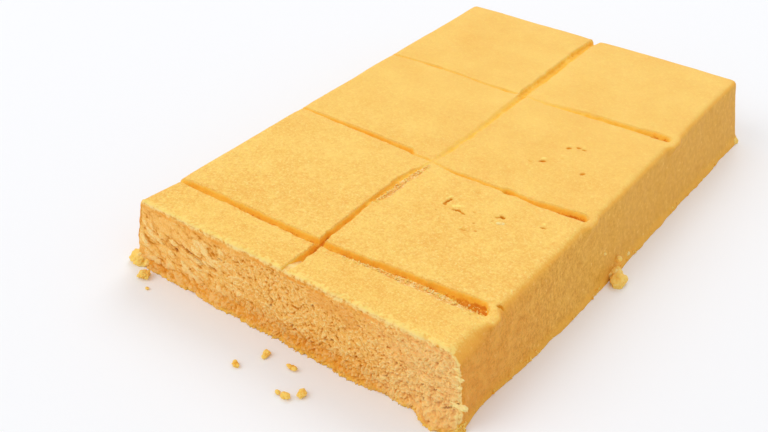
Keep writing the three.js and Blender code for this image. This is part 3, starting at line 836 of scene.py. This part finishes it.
def slab_mesh():
    """The whole slab. Its cut face lies a little deep, because the crumb covers it."""
    mesh = mesh_of(refined_lattice(), "nougat_body")
    square = coordinates(mesh)
    p = general_shape(follow_scores(square))
    set_coordinates(mesh, p)
    normals = vectors(mesh.vertex_normals, "vector")
    p += normals * skin_relief(p, normals)[:, None]
    off_edge = np.maximum(cut_edge_gap(square), square[:, 1] - FRONT_Y)
    edge_relief = relief(EDGE_RELIEF, *p.T) * fade(off_edge, *EDGE_RELIEF_FADES)
    p += normals * edge_relief[:, None]
    near_top = ramp(square[:, 2], HEIGHT - TOP_LAYER, HEIGHT)
    (x, y) = p[:, :2].T
    (cut_down, walled, burr) = score_shape(x, y)
    (torn_down, lip) = tear_shape(x, y)
    strip = strip_share(x, y) * near_top
    scored = near_top * np.maximum(cut_down, torn_down)
    crumbled = strip * (STRIP_DIP + relief(STRIP_RELIEF, *p.T))
    p[:, 2] += near_top * (burr * (1 - strip) + lip) - np.maximum(scored, crumbled)
    on_cut = square[:, 1] < FRONT_Y + 1e-3
    p[:, 1] += np.where(on_cut, CRUMB_BED * ramp(cut_edge_gap(square), *BED_STARTS), 0)
    p[:, 2] = np.where(square[:, 2] < 1e-6, 0, np.maximum(p[:, 2], 0.02))
    set_coordinates(mesh, p)
    close_below(mesh)
    mark(
        mesh,
        square,
        top=ramp(normals[:, 2], *TOP_SLOPES),
        # how deep the scores cut on their walls and floors, for their painted shade
        groove=near_top * walled * np.clip(cut_down / 1.6, 0.15, 1.4),
        torn=strip,
        # how deep the tears go, for their painted shade
        hollow=near_top * np.clip(torn_down / HOLLOW_DEPTH, 0, 1),
        # the lips' height, for their painted highlight, and how far the torn strips crumbled, for painted
        # shade in their low spots
        raised=0.5 + near_top * lip / 0.3 - strip * crumbled,
    )
    return finished(mesh)


def crumb_mesh():
    """The crumb of the cut face: a closed block, its front finely grained, its borders down in the slab."""
    bm = bmesh.new()
    bmesh.ops.create_grid(bm, x_segments=CRUMB_COLUMNS, y_segments=CRUMB_ROWS, size=0.5)
    border = [edge for edge in bm.edges if edge.is_boundary]
    walls = bmesh.ops.extrude_edge_only(bm, edges=border)["geom"]
    for part in walls:
        if isinstance(part, bmesh.types.BMVert):
            part.co.z = -1
    close_holes(bm)
    mesh = mesh_of(bm, "cut_face_crumb")
    (s, t, behind) = coordinates(mesh).T
    square = points(
        s * (TOP_WIDTH - 2 * CRUMB_INSET),
        np.full_like(s, FRONT_Y),
        (t + 0.5) * (HEIGHT - CRUMB_INSET),
    )
    p = general_shape(square)
    (grained, smeared) = crumb_relief(p[:, 0], p[:, 2])
    hollow = hole_depth(p[:, 0], p[:, 2])
    gap = cut_edge_gap(square)
    grained *= EDGE_GRAIN + (1 - EDGE_GRAIN) * ramp(gap, *EDGE_GRAIN_RISES)
    p[:, 1] -= relief(CUT_RELIEF, *p.T) + grained - hollow
    p[:, 1] += CRUMB_BED * fade(gap, *CRUMB_EMERGES)
    p[:, 1] -= behind * CRUMB_THICK
    p[:, [0, 2]] *= 1 + BACK_SMALLER * behind[:, None]
    set_coordinates(mesh, p)
    # how deep the holes go, for their painted shade
    dark = np.clip(hollow / HOLLOW_DEPTH, 0, 1)
    # the grains' height, for painted shade in the crevices and painted highlight on the grain tops
    mark(mesh, square, hollow=dark, raised=0.5 + grained * 0.9, smeared=smeared)
    return finished(mesh)


def lump_mesh(name, lumps, subdivisions, roughness, wavelength, tone):
    """Lumpy balls joined in one mesh, flat where they rest."""
    bm = bmesh.new()
    sizes = []
    for across, along, up, *half_sizes in lumps:
        made = bmesh.ops.create_icosphere(bm, subdivisions=subdivisions, radius=1)
        sizes += [(LEFT_X + across, FRONT_Y + along, up, *half_sizes)] * len(made["verts"])
    mesh = mesh_of(bm, name)
    sizes = np.array(sizes)
    (centres, halves) = (sizes[:, :3], sizes[:, 3:])
    ball = coordinates(mesh)
    octaves = [(roughness * share, wavelength * share) for share in (1, 0.5, 0.25)]
    rough = relief(octaves, *(ball * halves + centres).T)
    p = ball * (1 + rough)[:, None] * halves + centres
    p[:, 2] = np.maximum(p[:, 2], 0)
    set_coordinates(mesh, p)
    # each piece's tone, with its bumps' height for painted shade in the dents and painted highlight on the
    # bumps
    mark(mesh, p, raised=tone + rough * 0.7)
    return finished(mesh)


def grain_mesh(name, centres, radii, seed, darkest, palest):
    """Many small uneven grains joined in one mesh."""
    bm = bmesh.new()
    bmesh.ops.create_icosphere(bm, subdivisions=1, radius=1)
    bm.verts.ensure_lookup_table()
    ball = np.array([vertex.co for vertex in bm.verts])
    corners = np.array([[vertex.index for vertex in face.verts] for face in bm.faces])
    bm.free()
    rng = np.random.default_rng(seed)
    count = len(centres)
    stretch = rng.uniform(0.6, 1.35, (count, 1, 3))
    turns = rng.normal(size=(count, 4))
    turn = np.array([Quaternion(row).normalized().to_matrix() for row in turns])
    dented = ball[None] * rng.uniform(0.78, 1.18, (count, len(ball), 1)) * stretch
    p = np.einsum("nij,nvj->nvi", turn, dented) * radii[:, None, None] + centres[:, None]
    faces = corners[None] + (np.arange(count) * len(ball))[:, None, None]
    mesh = bpy.data.meshes.new(name)
    p = p.reshape(-1, 3)
    p[:, 2] = np.maximum(p[:, 2], 0)
    mesh.from_pydata(p.tolist(), [], faces.reshape(-1, 3).tolist())
    mark(mesh, p, raised=np.repeat(rng.uniform(darkest, palest, count), len(ball)))
    return finished(mesh)


def foot_grains(body, seed):
    """Places and radii of loose grains on the foot, most of them along the cut face."""
    p = coordinates(body) / MM
    rng = np.random.default_rng(seed)
    low = p[(p[:, 2] < FOOT_GRAINS_BELOW) & (p[:, 2] > 0.01)]
    weight = np.where(low[:, 1] < FRONT_Y + 1, FOOT_GRAINS_BY_CUT, 1)
    picked = low[rng.choice(len(low), FOOT_GRAIN_COUNT, p=weight / weight.sum())]
    radii = rng.uniform(*FOOT_GRAIN_RADII, FOOT_GRAIN_COUNT)
    return picked + rng.normal(0, 0.12, picked.shape), radii


def on_scored_top(x, y):
    return points(x, y, top_height(x, y) - score_shape(x, y)[0])


def score_grains(seed):
    """Places and radii of grains along the first cross score and in the long one's broad stretch."""
    rng = np.random.default_rng(seed)
    across = 54 + 43 * rng.uniform(0, 1, SCORE_GRAIN_COUNT) ** 0.7
    (place, _, mouth) = score_at(FIRST_CROSS_SCORE, across)
    farthest = np.where(across > 88, mouth - 0.6, 0.8)
    offset = -mouth / 2 + rng.uniform(-1.4, farthest)
    first = on_scored_top(LEFT_X + across, FRONT_Y + place + offset)
    half = SCORE_GRAIN_COUNT // 2
    along = rng.uniform(36, 61, half)
    (place, _, mouth) = score_at(LONG_SCORE, along)
    second = on_scored_top(LEFT_X + place + mouth / 2 + rng.uniform(-0.8, 1.2, half), FRONT_Y + along)
    return np.concatenate([first, second]), rng.uniform(*SCORE_GRAIN_RADII, SCORE_GRAIN_COUNT + half)


# Finishes


class Value:
    """A shader socket that takes part in Python sums, each of which adds a Math node."""

    def __init__(self, shader, socket):
        self.shader = shader
        self.socket = socket

    def maths(self, operation, *values):
        return self.shader.node("ShaderNodeMath", {"operation": operation}, dict(enumerate(values)))

    def __add__(self, other):
        return self.maths("ADD", self, other)

    __radd__ = __add__

    def __sub__(self, other):
        return self.maths("SUBTRACT", self, other)

    def __rsub__(self, other):
        return self.maths("SUBTRACT", other, self)

    def __mul__(self, other):
        return self.maths("MULTIPLY", self, other)

    __rmul__ = __mul__


class Shader:
    """The nodes of one material."""

    def __init__(self, name):
        self.material = bpy.data.materials.new(name)
        self.material.use_nodes = True
        self.tree = self.material.node_tree
        self.surface = self.tree.nodes["Principled BSDF"]

    def set_inputs(self, made, inputs):
        for key, value in inputs.items():
            if isinstance(value, Value):
                self.tree.links.new(value.socket, made.inputs[key])
            else:
                made.inputs[key].default_value = value

    def node(self, kind, settings, inputs, output=0):
        made = self.tree.nodes.new(kind)
        for name, value in settings.items():
            setattr(made, name, value)
        self.set_inputs(made, inputs)
        return Value(self, made.outputs[output])

    def attributes(self, *names):
        return [self.node("ShaderNodeAttribute", {"attribute_name": name}, {}, "Fac") for name in names]

    def place(self):
        """Object coordinates in millimetres."""
        coordinates = self.node("ShaderNodeTexCoord", {}, {}, "Object")
        return self.node("ShaderNodeVectorMath", {"operation": "SCALE"}, {0: coordinates, "Scale": 1 / MM})

    def part(self, place, axis):
        return self.node("ShaderNodeSeparateXYZ", {}, {0: place}, axis)

    def grains(self, place, *sizes):
        """Noise from -0.5 to 0.5, for each size a wavelength and its detail."""
        inputs = [{"Vector": place, "Scale": 1 / wave, "Detail": detail} for wave, detail in sizes]
        return [self.node("ShaderNodeTexNoise", {}, each) - 0.5 for each in inputs]

    def rise(self, value, low, high):
        inputs = {"Value": value, "From Min": low, "From Max": high}
        return self.node("ShaderNodeMapRange", {"interpolation_type": "SMOOTHSTEP"}, inputs)

    def blend(self, share, first, second):
        inputs = {0: share, 6: first, 7: second}
        return self.node("ShaderNodeMix", {"data_type": "RGBA"}, inputs, 2)

    def finish(self, colour, roughness, height, strength):
        """Sets what all of the nougat's finishes have, and gives the material."""
        bumps = {"Height": height, "Strength": strength, "Distance": BUMP_HEIGHT}
        self.set_inputs(self.surface, {
            "Base Color": colour,
            "Roughness": roughness,
            "Normal": self.node("ShaderNodeBump", {}, bumps),
            "Subsurface Weight": 0.15,
            "Subsurface Radius": (1.0, 0.45, 0.16),
            "Subsurface Scale": 1.2 * MM,
            "Specular IOR Level": 0.2,
        })
        return self.material


def tint(red, green, blue):
    """A colour from its screen values of 0 to 255."""
    shares = [channel / 255 for channel in (red, green, blue)]
    linear = [share / 12.92 if share <= 0.04045 else ((share + 0.055) / 1.055) ** 2.4 for share in shares]
    return (*linear, 1)


TOP_TINT = tint(254, 211, 110)
TOP_DEEP_TINT = tint(241, 178, 76)
TOP_PALE_TINT = tint(255, 228, 152)
# The sides' colour: partly the moulded skin's own, partly painted shade
SIDE_TINT = tint(250, 196, 88)
SIDE_DEEP_TINT = tint(212, 142, 38)
SIDE_BY_CUT_TINT = tint(232, 144, 44)
# painted shade on the rounded edges between the top and the sides
EDGE_SHADE_TINT = tint(252, 182, 66)
CRUMB_TINT = tint(250, 188, 94)
# Painted shade in the crumb's crevices and painted highlight on its grain tops
CRUMB_CREVICE_SHADE_TINT = tint(214, 132, 26)
CRUMB_GRAIN_HIGHLIGHT_TINT = tint(255, 216, 140)
# the pale rim along the cut's edges: partly the skin's own colour, partly painted glow
CRUMB_RIM_TINT = tint(255, 224, 146)
CRUMB_FOOT_TINT = tint(238, 156, 42)
CRUMB_FOOT_EDGE_TINT = tint(255, 200, 84)
SMEARED_TINT = tint(238, 164, 74)
CRUMB_SKIN_TINT = tint(242, 160, 52)
CRUMB_RIGHT_TINT = tint(255, 206, 132)
# Painted shade of the scores' walls and floors, pale where shallow, darkest towards the cross scores' ends
SCORE_SHADE_TINT = tint(252, 190, 62)
SCORE_DARK_SHADE_TINT = tint(232, 146, 26)
SCORE_END_SHADE_TINT = tint(222, 126, 6)
SHALLOW_SCORE_SHADE_TINT = tint(255, 203, 84)
TORN_TINT = tint(255, 224, 156)
# painted shade in the torn strips' low spots
TORN_LOW_SHADE_TINT = tint(240, 172, 74)
FOOT_TINT = tint(246, 182, 66)
# Painted shade in the tears and in the holes of the cut face
HOLLOW_SHADE_TINT = tint(156, 80, 2)
TEAR_SHADE_TINT = tint(226, 144, 20)
# the pale rim along the cut's edges: partly the skin's own colour, partly painted glow
RIM_TINT = tint(255, 221, 124)
# painted highlight on the tears' raised lips
LIP_HIGHLIGHT_TINT = tint(255, 230, 128)
LOOSE_TINT = tint(255, 212, 108)
LOOSE_DEEP_TINT = tint(248, 178, 60)
LOOSE_PALE_TINT = tint(255, 224, 148)

# Wavelength and detail of the patterns
CLOUD = (16, 2.0)
MOTTLE = (3.4, 2.0)
PATCH = (1.5, 2.0)
SPECKLE = (0.75, 2.0)
FINE = (0.38, 1.0)
STREAK = (0.9, 2.0)
STREAK_STRETCH = (1, 1, 0.4)
BUMP_HEIGHT = 0.3 * MM
SMOOTHER = (-75, 30)  # places along between which the skin's pattern grows fainter
SCORE_ENDS = (39, 44)  # places across between which the cross scores' painted shade grows darkest
RIGHT_PALER = (20, 48)  # and the cut face paler


def score_shade_colour(shader, groove, across, patch, speckle, fine):
    """Painted shade on the walls and floors of the scores, darker the deeper they are."""
    (rise, blend) = (shader.rise, shader.blend)
    tone = groove + patch * 0.7 + fine * 0.5
    pale = blend(rise(tone, 0.2, 0.6), SHALLOW_SCORE_SHADE_TINT, SCORE_SHADE_TINT)
    at_end = rise(across, *SCORE_ENDS)
    dark = blend(at_end, SCORE_DARK_SHADE_TINT, SCORE_END_SHADE_TINT)
    return blend(rise(tone + speckle * 0.6 + at_end * 0.2, 0.95, 1.4), pale, dark)


def skin_finish():
    """The moulded top and sides, with painted shade on the walls of the scores."""
    shader = Shader("moulded_skin")
    (rise, blend) = (shader.rise, shader.blend)
    place = shader.place()
    (cloud, mottle, patch, speckle, fine) = shader.grains(place, CLOUD, MOTTLE, PATCH, SPECKLE, FINE)
    stretched = shader.node("ShaderNodeVectorMath", {"operation": "MULTIPLY"}, {0: place, 1: STREAK_STRETCH})
    (streak,) = shader.grains(stretched, STREAK)
    along = shader.part(place, 1)
    (top, up, torn, groove) = shader.attributes("top", "up", "torn", "groove")
    (edge, raised, hollow) = shader.attributes("rim", "raised", "hollow")
    rough = 1 - rise(along, *SMOOTHER) * 0.7

    top_tone = 0.55 + (fine * 0.3 + speckle * 0.3 + patch * 0.2 + mottle * 0.2) * 1.5 * rough + cloud * 0.3
    top_tint = blend(rise(top_tone, 0.25, 0.75), TOP_DEEP_TINT, TOP_TINT)
    pale = rise(fine * 0.6 + speckle * 0.4, 0.06, 0.2) * rough
    top_tint = blend(pale * 0.6, top_tint, TOP_PALE_TINT)
    side_grain = (fine * 0.25 + speckle * 0.35 + streak * 0.2 + mottle * 0.2) * rough * rough
    side_tone = 0.5 + side_grain * 1.9 + patch * 0.25
    side_tint = blend(rise(side_tone, 0.25, 0.75), SIDE_DEEP_TINT, SIDE_TINT)

    # The sides are deeper in colour than the top, partly their own colour and partly painted shade
    colour = blend(top, side_tint, top_tint)
    # Painted shade on the rounded edges between the top and the sides
    colour = blend(top * (1 - top) * 2.4, colour, EDGE_SHADE_TINT)
    near_cut = 1 - rise(along + mottle * 6, FRONT_Y - 4, FRONT_Y + 60)
    colour = blend(near_cut * (1 - top) * (0.5 + speckle * 1.6), colour, SIDE_BY_CUT_TINT)
    foot = 1 - rise(up + mottle * 0.1, 0.02, 0.13)
    colour = blend(foot * 0.7, colour, FOOT_TINT)
    # The pale rim: partly the skin's own colour, partly painted glow on the cut's thin edges
    rim = rise(edge + patch * 1.6 + speckle * 0.9, 0.3, 1.05)
    colour = blend(rim * 0.9, colour, blend(top, CRUMB_RIM_TINT, RIM_TINT))
    # Painted highlight on the tears' raised lips
    colour = blend(rise(raised + speckle * 0.3, 0.6, 1) * 0.9, colour, LIP_HIGHLIGHT_TINT)
    # Painted shade in the scores, darker with their depth
    score_tint = score_shade_colour(shader, groove, shader.part(place, 0), patch, speckle, fine)
    colour = blend(rise(groove + speckle * 0.2, 0.05, 0.3), colour, score_tint)
    # Painted shade in the low spots of the torn strips, their pale torn skin on the high spots
    torn_tint = blend(rise(raised + fine * 0.8, 0.1, 0.5), TORN_LOW_SHADE_TINT, TORN_TINT)
    colour = blend(rise(torn + fine * 0.4, 0.3, 0.8) * 0.9, colour, torn_tint)
    # Painted shade in the tears, by their depth
    colour = blend(rise(hollow, 0.03, 0.4), colour, TEAR_SHADE_TINT)
    roughness = 0.6 + speckle * 0.25 + torn * 0.2
    return shader.finish(colour, roughness, (fine * 0.35 + speckle * 0.65) * rough, 0.7)


def crumb_finish():
    """The crumb of the cut face."""
    shader = Shader("cut_crumb")
    (rise, blend) = (shader.rise, shader.blend)
    place = shader.place()
    (mottle, patch, speckle, fine) = shader.grains(place, MOTTLE, PATCH, SPECKLE, FINE)
    (raised, up, smeared) = shader.attributes("raised", "up", "smeared")
    (skin, edge, hollow) = shader.attributes("skin", "rim", "hollow")
    across = shader.part(place, 0)

    # Painted shade in the crevices and painted highlight on the grain tops, by the grains' height
    colour = blend(rise(raised + speckle * 0.5, 0.26, 0.6), CRUMB_CREVICE_SHADE_TINT, CRUMB_TINT)
    colour = blend(rise(raised + fine * 0.7, 0.56, 0.85), colour, CRUMB_GRAIN_HIGHLIGHT_TINT)
    smear = rise(smeared + mottle * 1.8 - up * 0.3, 0.1, 0.6)
    colour = blend(smear * 0.5, colour, SMEARED_TINT)
    below_skin = rise(skin + mottle * 1.6 + patch, 0.5, 1.2)
    colour = blend(below_skin * 0.75, colour, CRUMB_SKIN_TINT)
    at_right = rise(across + mottle * 20, *RIGHT_PALER)
    colour = blend(at_right * 0.6, colour, CRUMB_RIGHT_TINT)
    low = up + mottle * 0.4 + patch * 0.15 + rise(across, 24, 36) * 0.16
    foot = (1 - rise(low, 0.06, 0.34)) * (0.45 + rise(patch + speckle * 0.5, -0.15, 0.2) * 0.55)
    colour = blend(foot, colour, CRUMB_FOOT_TINT)
    foot_edge = (1 - rise(up, 0.01, 0.07)) * rise(patch, -0.15, 0.1)
    colour = blend(foot_edge * 0.8, colour, CRUMB_FOOT_EDGE_TINT)
    # The pale rim: partly the skin's own colour, partly painted glow on the cut's thin edges
    rim = rise(edge + patch * 1.4 + speckle * 0.9, 0.25, 1.0)
    colour = blend(rim * 0.85, colour, CRUMB_RIM_TINT)
    # Painted shade in the holes, by their depth
    colour = blend(rise(hollow, 0.08, 1.1), colour, HOLLOW_SHADE_TINT)
    return shader.finish(colour, 0.75 + speckle * 0.2, fine * 0.4 + speckle * 0.6, 0.8)


def loose_finish():
    """Lumps, flakes, curls, crumbs and loose grains."""
    shader = Shader("loose_crumb")
    (rise, blend) = (shader.rise, shader.blend)
    (speckle, fine) = shader.grains(shader.place(), SPECKLE, FINE)
    (raised,) = shader.attributes("raised")
    # Each piece's own tone; on the lumps also painted shade in the dents and painted highlight on the bumps
    tone = raised + speckle * 0.6
    colour = blend(rise(tone, 0.3, 0.8), LOOSE_DEEP_TINT, LOOSE_TINT)
    colour = blend(rise(tone, 0.9, 1.3), colour, LOOSE_PALE_TINT)
    return shader.finish(colour, 0.75 + fine * 0.2, fine, 0.6)


# Stage


def board():
    """The pale floor under the slab."""
    bm = bmesh.new()
    bmesh.ops.create_grid(bm, x_segments=4, y_segments=4, size=3)
    made = placed("board", mesh_of(bm, "board"))
    shader = Shader("board_finish")
    shader.set_inputs(shader.surface, {"Base Color": tint(247, 248, 251), "Roughness": 0.7})
    made.data.materials.append(shader.material)


def soft_light(name, place, size, power):
    """A round light that shines on the slab."""
    data = bpy.data.lights.new(name, "AREA")
    data.shape = "DISK"
    data.size = size
    data.energy = power
    made = placed(name, data)
    made.location = place
    made.rotation_mode = "QUATERNION"
    made.rotation_quaternion = Vector(place).to_track_quat("Z", "Y")


def daylight(strength):
    world = bpy.data.worlds.new("daylight")
    world.use_nodes = True
    background = world.node_tree.nodes["Background"]
    background.inputs["Color"].default_value = (1, 1, 1, 1)
    background.inputs["Strength"].default_value = strength
    bpy.context.scene.world = world


def camera():
    """The camera at the photo's angle."""
    data = bpy.data.cameras.new("camera")
    data.lens = LENS
    data.sensor_width = SENSOR
    made = placed("camera", data)
    turn = Matrix.Rotation(AZIMUTH, 4, "Z") @ Matrix.Rotation(math.pi / 2 - ELEVATION, 4, "X")
    place = Matrix.Translation([coordinate * MM for coordinate in EYE])
    made.matrix_world = place @ turn @ Matrix.Rotation(ROLL, 4, "Z")
    bpy.context.scene.camera = made


# Name, lumps, how finely they are divided, roughness, its wavelength, tone
LUMPY_PIECES = [
    ("pressed_lumps", LUMPS, 5, LUMP_ROUGHNESS, LUMP_WAVELENGTH, 0.9),
    ("side_crumbs", SIDE_CRUMBS, 3, 0.4, 0.8, 1.3),
    ("edge_flakes", FLAKES, 4, 0.75, 0.8, 1.5),
    ("tear_curls", TEAR_CURLS, 3, 0.4, 0.8, 1.3),
    ("board_crumbs", BOARD_CRUMBS, 4, 0.45, 0.9, 0.7),
]

loose = loose_finish()
body_mesh = slab_mesh()
piece("nougat_body", body_mesh, skin_finish(), "nougat_slab")
piece("cut_face_crumb", crumb_mesh(), crumb_finish())
for name, *how in LUMPY_PIECES:
    piece(name, lump_mesh(name, *how), loose)
piece("foot_grains", grain_mesh("foot_grains", *foot_grains(body_mesh, 5), 6, 0.3, 0.9), loose)
piece("score_grains", grain_mesh("score_grains", *score_grains(7), 8, 0.6, 1.3), loose)
board()
soft_light("window", (-0.45, 1.45, 1.6), 1.2, 10)
soft_light("room", (-1.1, -1.3, 1.5), 1.6, 12)
daylight(0.75)
camera()
bpy.context.scene.view_settings.view_transform = "Standard"
